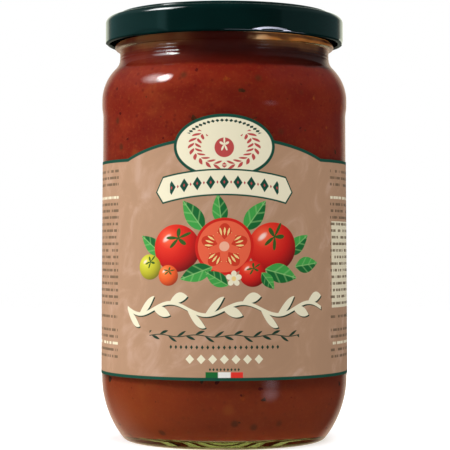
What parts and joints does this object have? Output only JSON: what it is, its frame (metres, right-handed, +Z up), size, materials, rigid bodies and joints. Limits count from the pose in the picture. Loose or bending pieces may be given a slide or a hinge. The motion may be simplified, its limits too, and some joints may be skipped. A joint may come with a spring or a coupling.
{
  "type": "tomato sauce jar",
  "caption": "Shut round glass jar filled with tomato sauce, with a twist-off steel lid and a paper wrap label whose top edge is an arch with an oval.",
  "frame": {"origin": "middle of the jar's base, on the surface it stands on", "axes": "+Z up along the jar's axis, the front of the label faces -Y, +X to the right of the front"},
  "size_m": [0.0892, 0.089, 0.1526],
  "materials": {
    "clear_glass": "smooth clear glass with a faint green cast",
    "tomato_sauce": "wet cooked tomato with herb flecks",
    "green_lacquer": "glossy dark green lacquer on pressed steel",
    "tan_paper": "uncoated tan paper with flat printed colours"
  },
  "bodies": {
    "root": {"jar_glass": "clear_glass", "sauce": "tomato_sauce", "lid": "green_lacquer", "label": "tan_paper"}
  },
  "joints": []
}
